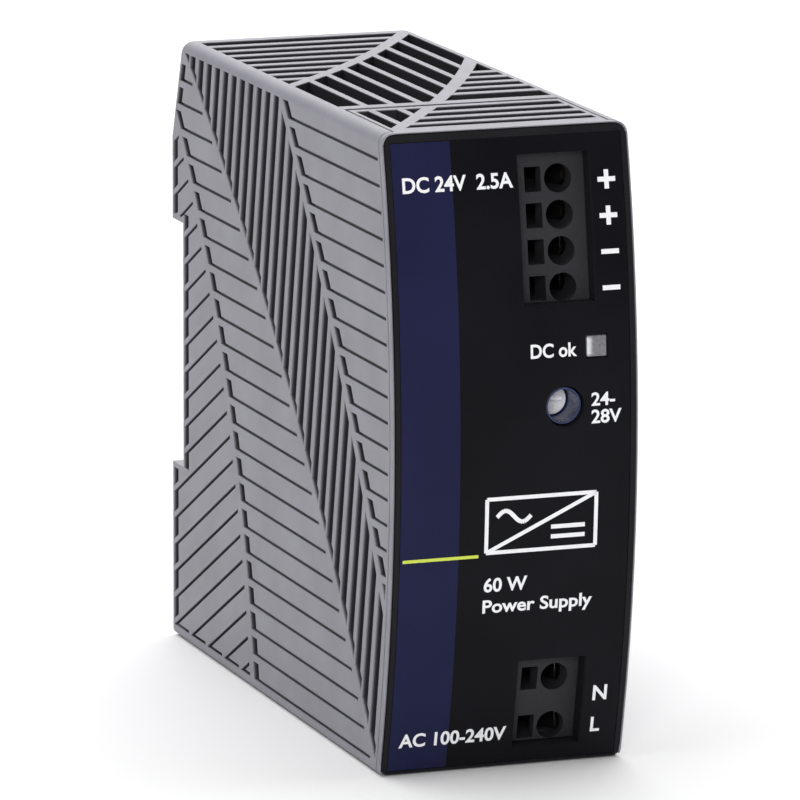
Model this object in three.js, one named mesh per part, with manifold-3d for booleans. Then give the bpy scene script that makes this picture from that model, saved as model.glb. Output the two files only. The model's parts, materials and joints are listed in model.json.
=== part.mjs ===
// A narrow DIN rail power supply: a moulded case with a relief pattern on its sides and grilles at its top
// and bottom, a convex black front with spring clamp terminals, and the converter's board inside.
//
// Units are millimetres, +Z is up, +X is right as seen from the front, and the front faces -Y. The pieces
// are drawn with y = 0 at the front's top and bottom corners and y growing to the rear. The group that
// holds them then moves the whole supply so that its origin is the middle of its underside.

import * as THREE from 'three';
import { mergeVertices } from 'three/addons/utils/BufferGeometryUtils.js';
import Module from 'manifold-3d';

const wasm = await Module();
wasm.setup();

// ---------------------------------------------------------------- driving dimensions

const WIDTH = 36;
const HEIGHT = 90;
const DEPTH = 95.6;
const BULGE = 5.4; // how far the middle of the convex front stands before its corners
const WALL = 2.1;
const PLATE = 2.4; // top and bottom plates
const GAP = 0.3; // clearance between neighbouring pieces
const TOP_RADIUS = 1.6;
const BOTTOM_RADIUS = 0.8;

const HALF = WIDTH / 2;
const REAR = DEPTH - BULGE;
const INNER = HALF - WALL;
const MIDDLE = HEIGHT / 2;
const ARC_STEPS = 16;

// The top's seam, across which the front frame meets the housing
const SEAM_FRONT = 20.1;
const SEAM_REAR = 21.2;
const LIP = 2.2;

// Rail recess: a 35 mm rail lies in it, under the fixed hook and over the sprung latch
const RECESS_LOW = 26.3;
const RECESS_HIGH = 63.0;
const RECESS_FLOOR = REAR - 4.9;
const SEAT = 0.3; // the raised pad that the rail rests on
const HOOK_LIP = 1.4;
const HOOK_THICKNESS = 2.6;
const HOOK_HALF = 11;

// Board: it stands on edge near the right wall, and its parts point to the left
const BOARD = { left: 13.8, right: 15.3, front: 8, rear: 82, low: 3.4, high: 86.6 };
const BOARD_FACE = BOARD.left - GAP;

// ---------------------------------------------------------------- solids

/** A closed geometry as a solid for joining and cutting. */
function solid(geometry) {
  const bare = geometry.clone();
  bare.deleteAttribute('normal');
  bare.deleteAttribute('uv');
  const merged = mergeVertices(bare, 1e-4);
  const vertProperties = new Float32Array(merged.attributes.position.array);
  const triVerts = new Uint32Array(merged.index.array);
  return new wasm.Manifold(new wasm.Mesh({ numProp: 3, vertProperties, triVerts }));
}

/** A solid as a geometry that a mesh can show. */
function geometryOf(manifold) {
  const { numProp, vertProperties, triVerts } = manifold.getMesh();
  const positions = new Float32Array((vertProperties.length / numProp) * 3);
  for (let i = 0; i < positions.length / 3; i++) {
    positions.set(vertProperties.subarray(i * numProp, i * numProp + 3), i * 3);
  }
  const geometry = new THREE.BufferGeometry();
  geometry.setAttribute('position', new THREE.BufferAttribute(positions, 3));
  geometry.setIndex(new THREE.BufferAttribute(new Uint32Array(triVerts), 1));
  geometry.computeVertexNormals();
  return geometry;
}

const joinAll = (solids) => solids.reduce((whole, next) => whole.add(next));
const cutAll = (body, solids) => solids.reduce((whole, next) => whole.subtract(next), body);

/** A block between two values on each axis. */
function block([x0, x1], [y0, y1], [z0, z1]) {
  const geometry = new THREE.BoxGeometry(x1 - x0, y1 - y0, z1 - z0);
  return solid(geometry.translate((x0 + x1) / 2, (y0 + y1) / 2, (z0 + z1) / 2));
}

function extrusion(outline, length) {
  const shape = new THREE.Shape(outline.map(([u, v]) => new THREE.Vector2(u, v)));
  return new THREE.ExtrudeGeometry(shape, { depth: length, bevelEnabled: false });
}

/** An outline of [y, z] points, from x0 to x1. */
function alongX(outline, x0, x1) {
  const turn = new THREE.Matrix4().makeBasis(
    new THREE.Vector3(0, 1, 0),
    new THREE.Vector3(0, 0, 1),
    new THREE.Vector3(1, 0, 0),
  );
  return solid(extrusion(outline, x1 - x0).applyMatrix4(turn).translate(x0, 0, 0));
}

/** An outline of [x, z] points, from y0 to y1. */
function alongY(outline, y0, y1) {
  return solid(extrusion(outline, y1 - y0).rotateX(Math.PI / 2).translate(0, y1, 0));
}

/** An outline of [x, y] points, from z0 to z1. */
function alongZ(outline, z0, z1) {
  return solid(extrusion(outline, z1 - z0).translate(0, 0, z0));
}

function discX([y, z], radius, x0, x1, sides = 20) {
  const geometry = new THREE.CylinderGeometry(radius, radius, x1 - x0, sides).rotateZ(Math.PI / 2);
  return solid(geometry.translate((x0 + x1) / 2, y, z));
}

function discY([x, z], radius, y0, y1, sides = 20) {
  const geometry = new THREE.CylinderGeometry(radius, radius, y1 - y0, sides);
  return solid(geometry.translate(x, (y0 + y1) / 2, z));
}

function discZ([x, y], radius, z0, z1, sides = 16) {
  const geometry = new THREE.CylinderGeometry(radius, radius, z1 - z0, sides).rotateX(Math.PI / 2);
  return solid(geometry.translate(x, y, (z0 + z1) / 2));
}

// ---------------------------------------------------------------- curves

/** The circular arc through three points, as a function from the second coordinate to the first. */
function arcThrough([ax, ay], [bx, by], [cx, cy]) {
  const d = 2 * (ax * (by - cy) + bx * (cy - ay) + cx * (ay - by));
  const a = ax * ax + ay * ay;
  const b = bx * bx + by * by;
  const c = cx * cx + cy * cy;
  const centreX = (a * (by - cy) + b * (cy - ay) + c * (ay - by)) / d;
  const centreY = (a * (cx - bx) + b * (ax - cx) + c * (bx - ax)) / d;
  const radius = Math.hypot(ax - centreX, ay - centreY);
  const side = Math.sign(ax - centreX);
  return (y) => centreX + side * Math.sqrt(radius * radius - (y - centreY) ** 2);
}

/** An arc over the supply's height: y = ends at the top and bottom, bowed forward by bow at the middle. */
const bowed = (ends, bow) => arcThrough([ends, 0], [ends - bow, MIDDLE], [ends, HEIGHT]);

const frontFace = bowed(0, BULGE);

/** Points [curve(v), v] from v0 to v1. */
function follow(curve, v0, v1, steps = ARC_STEPS) {
  return Array.from({ length: steps + 1 }, (_, i) => {
    const v = v0 + ((v1 - v0) * i) / steps;
    return [curve(v), v];
  });
}

const shifted = (curve, by) => (v) => curve(v) + by;

/** The sides' seam, where the housing begins behind the front frame. */
const seam = shifted(frontFace, 1.45);

/** The region between a front and a rear curve, as an outline of [y, z] points. */
function between(front, rear, low = 0, high = HEIGHT) {
  return [...follow(front, low, high), ...follow(rear, low, high).reverse()];
}

/** An upright rectangle with rounded corners, drawn out from the front to the rear. */
function roundedBar(half, low, high, lowRadius, highRadius) {
  const steps = 4;
  const corner = (side, z, radius, from) =>
    Array.from({ length: steps + 1 }, (_, i) => {
      const angle = from + (i * Math.PI) / 2 / steps;
      return [side * (half - radius) + radius * Math.cos(angle), z + radius * Math.sin(angle)];
    });
  const outline = [
    ...corner(-1, low + lowRadius, lowRadius, Math.PI),
    ...corner(1, low + lowRadius, lowRadius, 1.5 * Math.PI),
    ...corner(1, high - highRadius, highRadius, 0),
    ...corner(-1, high - highRadius, highRadius, 0.5 * Math.PI),
  ];
  return alongY(outline, -10, DEPTH);
}

const envelope = () => roundedBar(HALF, 0, HEIGHT, BOTTOM_RADIUS, TOP_RADIUS);

// ---------------------------------------------------------------- relief pattern on the sides

// Three curves part each side into four fields. Each gives y at a height z.
const spine = arcThrough([86.6, 78.5], [64.3, 43], [52.2, 3]);
const ridge = arcThrough([84, 88.2], [38.9, 48.2], [2.4, 3]);
const frontRib = arcThrough([42.1, 88], [19.5, 58], [0.5, 27]);

const FIELD_LOW = 1.5;
const FIELD_HIGH = 88.5;
const FRONT_MARGIN = 0.65;
const GROOVE = 0.5;
const GROOVE_PITCH = 3.59;
const GROOVE_DEPTH = 0.35;
const FRONT_FIELD_LOW = 32.2;
const DASH_HEIGHT = 2.6;
const DASH_WIDTH = 2.4;
const DASH_DEPTH = 1.6;
const SLANT_DEPTH = 0.9;
const RIB_WIDTH = 1.75;
const RIM = 0.45; // between the rear edge and the pockets along it

const chamferFoot = 75.1;
const chamferTop = REAR - 4.9;

/** A dash: a slanted pocket that follows a curve, from its lower edge upward. */
function dash(curve, low) {
  const high = low + DASH_HEIGHT;
  return [
    [curve(low), low],
    [curve(low) + DASH_WIDTH, low],
    [curve(high) + DASH_WIDTH, high],
    [curve(high), high],
  ];
}

function groove(y0, y1, low) {
  return [[y0, low], [y1, low], [y1, low + GROOVE], [y0, low + GROOVE]];
}

/** Shallow level grooves: each starts in a dash and runs towards the next curve to the front. */
function levelGrooves() {
  const outlines = [];
  const spineDash = shifted(spine, -DASH_WIDTH / 2);
  const ribDash = shifted(frontRib, -RIB_WIDTH - DASH_WIDTH);
  for (let low = FIELD_LOW; low < 87; low += GROOVE_PITCH) {
    const rear = low < 78 ? spineDash(low) + 0.4 : rearEdge(low) - RIM - EDGE_DASH + 0.2;
    outlines.push(groove(ridge(low) + 2.2, rear, low));
  }
  for (let low = FRONT_FIELD_LOW; low < 87; low += GROOVE_PITCH) {
    outlines.push(groove(seam(low) + FRONT_MARGIN, ribDash(low) + 0.4, low));
  }
  return outlines;
}

/** Deep dashes along the front side of the spine and of the front rib. */
function dashes() {
  const outlines = [];
  for (let low = FIELD_LOW; low < 78; low += GROOVE_PITCH) {
    outlines.push(dash(shifted(spine, -DASH_WIDTH / 2), low));
  }
  for (let low = FRONT_FIELD_LOW - 2 * GROOVE_PITCH; low < 87; low += GROOVE_PITCH) {
    outlines.push(dash(shifted(frontRib, -RIB_WIDTH - DASH_WIDTH), low));
  }
  return outlines;
}

// Slots of the band between ridge and front rib: they lean, with their tops to the front
const SLOT_PITCH = 3.707;
const SLOT_WIDTH = 2.38;
const SLOT_LEAN = 0.181;
const FOOT = 0.85;
const slotFront = (index, z) => 50.1 + SLOT_PITCH * index - SLOT_LEAN * (z - 86);

function leaningStripe(index, extra) {
  const front = (z) => slotFront(index, z) - extra;
  const rear = (z) => slotFront(index, z) + SLOT_WIDTH;
  return [[front(0), 0], [rear(0), 0], [rear(HEIGHT), HEIGHT], [front(HEIGHT), HEIGHT]];
}

// Slanted grooves of the field behind the spine: groove 0 passes through the origin
const SLANT = 0.532;
const SLANT_ORIGIN = { y: 73.5, z: 30.1 };
const SLANT_PITCH = 4.06;
const SLANT_GROOVE = 0.6;
const EDGE_DASH = 2.1;
const HEEL_TOP = 77; // where the spine meets the slanted rear edge
const slantLine = (index, y) => SLANT_ORIGIN.z + SLANT * (SLANT_ORIGIN.y - y) + SLANT_PITCH * index;
const slantMeets = (index, z) => SLANT_ORIGIN.y + (SLANT_ORIGIN.z + SLANT_PITCH * index - z) / SLANT;

function slantedStripe(index, above, below) {
  const [y0, y1] = [45, 90];
  return [
    [y0, slantLine(index, y0) - below],
    [y1, slantLine(index, y1) - below],
    [y1, slantLine(index, y1) + above],
    [y0, slantLine(index, y0) + above],
  ];
}

/** Strips along the housing's rear edges, where the slanted grooves widen into dashes. */
function edgeStrips() {
  const strip = (edge, z0, z1) => {
    const [y0, y1] = [edge - RIM - EDGE_DASH, edge - RIM];
    return [[y0, z0], [y1, z0], [y1, z1], [y0, z1]];
  };
  return [
    strip(REAR, FIELD_LOW, RECESS_LOW - 0.8),
    strip(RECESS_FLOOR, RECESS_LOW, RECESS_HIGH + 1.5),
    strip(REAR, RECESS_HIGH + 0.8, chamferFoot + 1),
  ];
}

/** The slanted rear edge above the spine: y at a height z. */
function rearEdge(z) {
  return REAR - ((z - chamferFoot) * (REAR - chamferTop)) / (HEIGHT - chamferFoot);
}

/** The field behind the spine, up to the rim along the housing's rear edges. */
function heelOutline() {
  const [rear, recess] = [REAR - RIM, RECESS_FLOOR - RIM];
  return [
    ...follow(shifted(spine, DASH_WIDTH / 2 + RIB_WIDTH), FIELD_LOW, HEEL_TOP),
    [rearEdge(HEEL_TOP) - RIM, HEEL_TOP],
    [rear, chamferFoot],
    [rear, RECESS_HIGH + 0.8],
    [recess, RECESS_HIGH + 0.8],
    [recess, RECESS_LOW - 0.8],
    [rear, RECESS_LOW - 0.8],
    [rear, FIELD_LOW],
  ];
}

/** Dashes along the slanted rear edge. */
function chamferDashes() {
  const outlines = [];
  for (let low = FIELD_LOW + 22 * GROOVE_PITCH; low < 87; low += GROOVE_PITCH) {
    const high = low + DASH_HEIGHT;
    outlines.push([
      [rearEdge(low) - RIM - EDGE_DASH, low],
      [rearEdge(low) - RIM, low],
      [rearEdge(high) - RIM, high],
      [rearEdge(high) - RIM - EDGE_DASH, high],
    ]);
  }
  return outlines;
}

/** Grooves along the bottom edge, one at the foot of each slanted groove that reaches it. */
function bottomFeet() {
  const outlines = [];
  const pitch = SLANT_PITCH / SLANT;
  for (let index = -9; index < -4; index++) {
    const rear = Math.min(slantMeets(index, FIELD_LOW), REAR - RIM);
    const front = Math.max(rear - pitch + 1.4, spine(FIELD_LOW) + DASH_WIDTH / 2 + RIB_WIDTH);
    outlines.push(groove(front, rear, FIELD_LOW));
  }
  return outlines;
}

/** Everything that is cut into one side, between the planes that the depth gives. */
function reliefCutters(spanOf) {
  const field = alongX(
    between(shifted(seam, FRONT_MARGIN), () => REAR + 2, FIELD_LOW, FIELD_HIGH),
    ...spanOf(DASH_DEPTH),
  );
  const band = alongX(
    between(ridge, frontRib, FIELD_LOW - 1, FIELD_HIGH + 1).reverse(),
    ...spanOf(DASH_DEPTH),
  );
  const bandFoot = alongX(
    between(shifted(ridge, -1.9), ridge, FIELD_LOW - 1, FIELD_HIGH + 1),
    ...spanOf(DASH_DEPTH),
  );
  const heel = (depth) => alongX(heelOutline(), ...spanOf(depth));
  const stripes = (depth, outlines) => joinAll(outlines.map((outline) => alongX(outline, ...spanOf(depth))));

  const slots = Array.from({ length: 27 }, (_, i) => i - 17);
  const slants = Array.from({ length: 23 }, (_, i) => i - 9);
  const slotStripes = stripes(DASH_DEPTH, slots.map((i) => leaningStripe(i, 0)));
  const footStripes = stripes(DASH_DEPTH, slots.map((i) => leaningStripe(i, FOOT)));
  const edges = stripes(DASH_DEPTH, edgeStrips());
  const edgeDashes = stripes(DASH_DEPTH, slants.map((i) => slantedStripe(i, SLANT_GROOVE / 2, SLANT_PITCH - 1.15)));
  const slanted = stripes(SLANT_DEPTH, slants.map((i) => slantedStripe(i, SLANT_GROOVE / 2, SLANT_GROOVE / 2)));

  return [
    slotStripes.intersect(band).intersect(field),
    footStripes.intersect(band).intersect(bandFoot).intersect(field),
    stripes(DASH_DEPTH, dashes()).intersect(field),
    edgeDashes.intersect(edges).intersect(heel(DASH_DEPTH)),
    stripes(DASH_DEPTH, chamferDashes()),
    slanted.intersect(heel(SLANT_DEPTH)),
    stripes(SLANT_DEPTH, bottomFeet()),
    stripes(GROOVE_DEPTH, levelGrooves()),
  ];
}

const leftSpan = (depth) => [-HALF - 1, -HALF + depth];
const rightSpan = (depth) => [HALF - depth, HALF + 1];

// ---------------------------------------------------------------- grilles at the top and bottom

// Two thick ribs cross the grille. Each gives x at a depth y.
const rearDiagonal = arcThrough([15.4, 82.7], [1.85, 62.8], [-15.9, 42.9]);
const frontDiagonal = arcThrough([15.9, 55.6], [1.8, 28.4], [-15.9, 1.4]);
const DIAGONAL = 2.3;
const CROSS_BAR = 1.6;
const LONG_BAR = 1.05;

const GRILLE_REAR = REAR - 6.9;

/** A region between two curves that give x, from y0 to y1, as [x, y] points. */
function fieldBetween(left, right, y0, y1) {
  return [...follow(left, y0, y1).reverse(), ...follow(right, y0, y1)];
}

/** Openings between bars that run across. */
function crossOpenings(bars, y0, y1) {
  const edges = [y0, ...bars.flatMap((y) => [y - CROSS_BAR / 2, y + CROSS_BAR / 2]), y1];
  const outlines = [];
  for (let i = 0; i < edges.length; i += 2) {
    outlines.push([[-HALF, edges[i]], [HALF, edges[i]], [HALF, edges[i + 1]], [-HALF, edges[i + 1]]]);
  }
  return outlines;
}

/** Openings between bars that run front to rear. */
function longOpenings(bars, y0, y1) {
  const edges = [-HALF, ...bars.flatMap((x) => [x - LONG_BAR / 2, x + LONG_BAR / 2]), HALF];
  const outlines = [];
  for (let i = 0; i < edges.length; i += 2) {
    outlines.push([[edges[i], y0], [edges[i + 1], y0], [edges[i + 1], y1], [edges[i], y1]]);
  }
  return outlines;
}

const barsFrom = (first, pitch, count) => Array.from({ length: count }, (_, i) => first + pitch * i);

/** The grille's openings between y0 and y1, through one plate. */
function grilleCutters([z0, z1], y0, y1, { side, rearBars, longBars, frontBars }) {
  const plate = block([-side, side], [y0, y1], [z0, z1]);
  const leftEdge = () => -HALF;
  const rightEdge = () => HALF;
  const halfRib = DIAGONAL / 2;
  const region = (left, right) => alongZ(fieldBetween(left, right, y0, y1), z0, z1);
  const openings = (outlines) => joinAll(outlines.map((outline) => alongZ(outline, z0, z1)));
  const clamped = (curve) => (y) => Math.min(HALF, Math.max(-HALF, curve(y)));
  const cutters = [];
  if (rearBars.length) {
    const rear = region(leftEdge, clamped(shifted(rearDiagonal, -halfRib)));
    cutters.push(openings(crossOpenings(rearBars, y0, y1)).intersect(rear));
    const middle = region(clamped(shifted(rearDiagonal, halfRib)), rightEdge);
    const before = region(leftEdge, clamped(shifted(frontDiagonal, -halfRib)));
    cutters.push(openings(longOpenings(longBars, y0, y1)).intersect(middle).intersect(before));
  } else {
    const middle = region(leftEdge, clamped(shifted(frontDiagonal, -halfRib)));
    cutters.push(openings(longOpenings(longBars, y0, y1)).intersect(middle));
  }
  const front = region(clamped(shifted(frontDiagonal, halfRib)), rightEdge);
  cutters.push(openings(crossOpenings(frontBars, y0, y1)).intersect(front));
  return cutters.map((cutter) => cutter.intersect(plate));
}

const REAR_GRILLE = {
  side: INNER,
  rearBars: barsFrom(48.15, 4.455, 8),
  longBars: barsFrom(-12, 4.08, 7),
  frontBars: barsFrom(28.65, 4.25, 5),
};
const FRONT_GRILLE = {
  side: INNER - 0.9,
  rearBars: [],
  longBars: barsFrom(-12.6, 4.2, 3),
  frontBars: barsFrom(6.65, 4.22, 3),
};

const topPlate = [HEIGHT - PLATE - 1, HEIGHT + 1];
const bottomPlate = [-1, PLATE + 1];

// ---------------------------------------------------------------- housing

const LATCH = { half: 4, flangeHalf: 6, low: 3.6, noseTop: 29.8, flangeFront: RECESS_FLOOR - 0.4 };

/** The hollow inside: its rear steps forward behind the rail recess. */
function cavity() {
  const rearInner = REAR - PLATE;
  const recessInner = RECESS_FLOOR - PLATE;
  const outline = [
    [-10, PLATE],
    [recessInner, PLATE],
    [recessInner, RECESS_HIGH + PLATE],
    [rearInner, RECESS_HIGH + PLATE],
    [rearInner, chamferFoot],
    [chamferTop - 1.6, HEIGHT - PLATE],
    [-10, HEIGHT - PLATE],
  ];
  return alongX(outline, -INNER, INNER);
}

/** The recess that the rail lies in, with the room behind the hook's lip. */
function railRecess() {
  const across = [-HALF - 1, HALF + 1];
  const open = block(across, [RECESS_FLOOR, REAR + 1], [RECESS_LOW, RECESS_HIGH]);
  const lip = block(
    [-HOOK_HALF, HOOK_HALF],
    [REAR - HOOK_THICKNESS, REAR + 2],
    [RECESS_HIGH - HOOK_LIP, RECESS_HIGH + 1],
  );
  return open.subtract(lip);
}

/** The T-shaped channel that the latch slides in. */
function latchChannel() {
  const flange = block(
    [-LATCH.flangeHalf - GAP, LATCH.flangeHalf + GAP],
    [LATCH.flangeFront - GAP, LATCH.flangeFront + 1.4 + GAP],
    [-1, RECESS_LOW + 1],
  );
  const neck = block(
    [-LATCH.half - GAP, LATCH.half + GAP],
    [LATCH.flangeFront, REAR + 1],
    [-1, RECESS_LOW + 1],
  );
  return flange.add(neck);
}

function rearHousing() {
  const side = [
    ...follow(seam, 0, HEIGHT),
    [chamferTop, HEIGHT],
    [REAR, chamferFoot],
    [REAR, 0],
  ];
  const outer = envelope().intersect(alongX(side.reverse(), -HALF - 1, HALF + 1));
  const across = [-INNER, INNER];
  const shell = cutAll(outer, [
    cavity(),
    block(across, [-10, SEAM_REAR], [-1, PLATE + 1]),
    block(across, [-10, SEAM_REAR], [HEIGHT - PLATE - 1, HEIGHT + 1]),
    railRecess(),
  ]);
  const seat = block([-14, 14], [RECESS_FLOOR - 0.5, RECESS_FLOOR + SEAT], [30.4, 61.6]);
  const springStop = block([-1.3, 1.3], [LATCH.flangeFront - 0.6, REAR - 0.6], [9, 10.2]);
  const latchBacking = block([-8, 8], [RECESS_FLOOR - PLATE - 1, RECESS_FLOOR], [PLATE - 0.5, RECESS_LOW]);
  const grilles = [topPlate, bottomPlate].flatMap((plate) =>
    grilleCutters(plate, SEAM_REAR + LIP, GRILLE_REAR, REAR_GRILLE),
  );
  return cutAll(
    cutAll(shell.add(seat).add(latchBacking), [latchChannel()]).add(springStop),
    [...grilles, ...reliefCutters(leftSpan), ...reliefCutters(rightSpan)],
  );
}

// ---------------------------------------------------------------- front frame, cover and label

// The cover lies in a shallow seat of the frame, whose thin lip goes round its sides and top
const COVER = { half: 17.6, high: 89.7, corner: 1.35, rim: 0.55, slack: 0.13 };
const ACROSS = [-HALF - 1, HALF + 1];

function frontFrame() {
  const seat = COVER.rim + COVER.slack;
  const ring = envelope().intersect(alongX(between(shifted(frontFace, 0.1), shifted(seam, -GAP)), ...ACROSS));
  const coverSpace = roundedBar(
    COVER.half + COVER.slack,
    -3,
    COVER.high + COVER.slack,
    BOTTOM_RADIUS,
    COVER.corner + COVER.slack,
  ).intersect(alongX(between(shifted(frontFace, -1), shifted(frontFace, seat), -3, HEIGHT), ...ACROSS));
  const plateSpan = [-INNER + GAP, INNER - GAP];
  const plates = [[0, PLATE], [HEIGHT - PLATE, HEIGHT]].map(([z0, z1]) =>
    block(plateSpan, [0.75, SEAM_FRONT], [z0, z1]),
  );
  const tongues = [-1, 1].map((side) => {
    const ends = [side * (INNER - GAP), side * (INNER - GAP - 1.3)].sort((a, b) => a - b);
    return alongX(between(shifted(frontFace, seat), () => 7.5, PLATE, HEIGHT - PLATE), ...ends);
  });
  const opening = block([-14.3, 14.3], [-20, 30], [PLATE, HEIGHT - PLATE]);
  const frame = joinAll([cutAll(ring, [coverSpace, opening]), ...plates, ...tongues]);
  const grilles = [topPlate, bottomPlate].flatMap((plate) =>
    grilleCutters(plate, 3.7, SEAM_FRONT - 1.4, FRONT_GRILLE),
  );
  return cutAll(frame, grilles);
}

// Openings of the front, as [x0, x1, z0, z1]
const OUTPUT_OPENING = [1.5, 12, 65.7, 86.2];
const INPUT_OPENING = [1.5, 11.4, 2.6, 15.4];
const LAMP_OPENING = [10.4, 13.6, 58, 61.25];
const TRIMMER = { x: 7.3, z: 51.45, hole: 2.85, collar: 2.6, bore: 2.3, rotor: 2.15 };
const LABEL = { half: 16.8, low: 0.5, high: 88.6, thickness: 0.15, pocket: 0.22 };

const throughFront = ([x0, x1, z0, z1], grow = 0) =>
  block([x0 - grow, x1 + grow], [-20, 12], [z0 - grow, z1 + grow]);

function frontCutters(grow = 0) {
  return [
    throughFront(OUTPUT_OPENING, grow),
    throughFront(INPUT_OPENING, grow),
    throughFront(LAMP_OPENING, grow),
    discY([TRIMMER.x, TRIMMER.z], TRIMMER.hole + grow, -20, 12, 32),
  ];
}

/** Walls around the terminal openings, which lead a wire or a screwdriver to the block behind. */
function collars() {
  const around = ([x0, x1, z0, z1], poles) =>
    alongX(
      between(shifted(frontFace, 0.4), shifted(blockFace(poles), -0.4), Math.max(z0 - 0.9, PLATE + GAP), z1 + 0.9),
      x0 - 0.9,
      x1 + 0.8,
    );
  return [around(OUTPUT_OPENING, OUTPUT_POLES), around(INPUT_OPENING, INPUT_POLES)];
}

function frontCover() {
  const plate = roundedBar(COVER.half, 0, COVER.high, BOTTOM_RADIUS, COVER.corner).intersect(
    alongX(between(frontFace, shifted(frontFace, COVER.rim)), ...ACROSS),
  );
  const plug = block([-13.7, 13.7], [-20, 20], [PLATE + GAP, HEIGHT - PLATE - GAP]).intersect(
    alongX(between(shifted(frontFace, 0.3), shifted(frontFace, 2.4)), ...ACROSS),
  );
  const pocket = alongX(
    between(shifted(frontFace, -5), shifted(frontFace, LABEL.pocket), LABEL.low - 0.1, LABEL.high + 0.1),
    -LABEL.half - 0.1,
    LABEL.half + 0.1,
  );
  const blockRoom = [OUTPUT_POLES, INPUT_POLES].map((poles) =>
    alongX(
      between(shifted(blockFace(poles), -GAP), () => 20, poles.low - GAP, poles.high + GAP),
      poles.x - 7.1 - GAP,
      poles.x + 4.6 + GAP,
    ),
  );
  return cutAll(joinAll([plate, plug, ...collars()]), [pocket, ...blockRoom, ...frontCutters()]);
}

function frontLabel() {
  const foil = alongX(
    between(shifted(frontFace, 0.01), shifted(frontFace, 0.01 + LABEL.thickness), LABEL.low, LABEL.high),
    -LABEL.half,
    LABEL.half,
  );
  return cutAll(foil, frontCutters(0.1));
}

// ---------------------------------------------------------------- terminals

// Offsets from a pole's wire hole
const WIRE_RADIUS = 2.0;
const DRIVER = { from: -4.9, to: -2.5, half: 1.7 };
const CHAMBER = { from: -6.0, to: 3.6, half: 1.95, front: 3.2 };
const PIVOT = { x: -1.4, y: 13.2, post: 0.8 };
const BLOCK_REAR = 17;

const OUTPUT_POLES = { name: 'output', x: 8.3, heights: [82.3, 77.35, 72.4, 67.45], low: 64.9, high: 86.9 };
const INPUT_POLES = { name: 'input', x: 8.05, heights: [12, 4.75], low: 2.7, high: 15.8 };
const BLOCK_DEPTH = 2.9; // from the front's surface back to a terminal block's face

/** A terminal block's flat face, which leans with the part of the convex front before it. */
function blockFace({ heights }) {
  const [top, bottom] = [heights[0], heights.at(-1)];
  const lean = (frontFace(top) - frontFace(bottom)) / (top - bottom);
  return (z) => frontFace(top) + BLOCK_DEPTH + lean * (z - top);
}

function terminalBlock(poles) {
  const { x, heights, low, high } = poles;
  const body = alongX(between(blockFace(poles), () => BLOCK_REAR, low, high), x - 7.1, x + 4.6);
  const hollows = heights.flatMap((z) => [
    block(
      [x + CHAMBER.from, x + CHAMBER.to],
      [CHAMBER.front, BLOCK_REAR + 1],
      [Math.max(z - CHAMBER.half, low + 0.25), z + CHAMBER.half],
    ),
    discY([x, z], WIRE_RADIUS, -4, 6, 24),
    block([x + DRIVER.from, x + DRIVER.to], [-4, 6], [z - DRIVER.half, z + DRIVER.half]),
  ]);
  const posts = heights.map((z) => discZ([x + PIVOT.x, PIVOT.y], PIVOT.post, z - 2.3, z + 2.3, 12));
  return joinAll([cutAll(body, hollows), ...posts]);
}

/** The bent spring strip of one pole, with its loop around the origin. */
function clampSpring() {
  const height = 1.7;
  const bar = (length, thickness, angle) => {
    const geometry = new THREE.BoxGeometry(length, thickness, 2 * height).translate(length / 2, 0, 0);
    return solid(geometry.rotateZ(angle));
  };
  const loop = discZ([0, 0], 1.5, -height, height, 16);
  const jaw = bar(8.3, 0.45, Math.atan2(-7.4, 3.7));
  const lever = bar(3.35, 0.45, Math.atan2(-1.0, -3.2));
  const bore = discZ([0, 0], 0.95, -3, 3, 16);
  return joinAll([loop, jaw, lever]).subtract(bore);
}

/** The current bar of one pole: it lies along the chamber's right wall and turns to the board. */
function contactBar({ x }, z) {
  const bar = [x + 2.75, x + 3.35];
  const blade = block(bar, [4, 19.6], [z - 1.5, z + 1.5]);
  const tail = block([x + 2.75, BOARD_FACE], [19, 19.6], [z - 0.7, z + 0.7]);
  return blade.add(tail);
}

// ---------------------------------------------------------------- lamp and trimmer

function lampWindow() {
  const [x0, x1, z0, z1] = LAMP_OPENING;
  const head = block([x0 + 0.15, x1 - 0.15], [-10, 1], [z0 + 0.15, z1 - 0.15]).intersect(
    alongX(between(shifted(frontFace, 0.1), () => 3), 0, HALF),
  );
  const stem = block([x0 + 0.5, x1 - 0.9], [0.5, 7.2], [z0 + 0.5, z1 - 0.5]);
  return head.add(stem);
}

function statusLamp() {
  const lens = block([10.9, 13.0], [7.5, 8.4], [58.3, 60.3]);
  const base = block([10.7, BOARD_FACE], [8.4, 9.6], [58.0, 60.6]);
  return lens.add(base);
}

const TRIMMER_SEAT = 0.6;

function trimmerBody() {
  const { x, z } = TRIMMER;
  const box = block([x - 3.3, BOARD_FACE], [TRIMMER_SEAT, 6.4], [z - 3.3, z + 3.3]);
  const collar = discY([x, z], TRIMMER.collar, -4.3, TRIMMER_SEAT + 0.5, 24);
  const bore = discY([x, z], TRIMMER.bore, -9, 2.2, 24);
  return box.add(collar).subtract(bore);
}

function trimmerRotor() {
  const disc = discY([0, 0], TRIMMER.rotor, -0.4, 1.4, 24);
  const slots = [block([-1.7, 1.7], [-1, 0.3], [-0.3, 0.3]), block([-0.3, 0.3], [-1, 0.3], [-0.3, 1.7])];
  return cutAll(disc, slots);
}

// ---------------------------------------------------------------- rail latch and its spring

const LATCH_FLANGE = [LATCH.flangeFront, LATCH.flangeFront + 1.4];
const SPRING = { low: 10.3, high: 21.2, radius: 1.0, wire: 0.25, turns: 6 };

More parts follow.
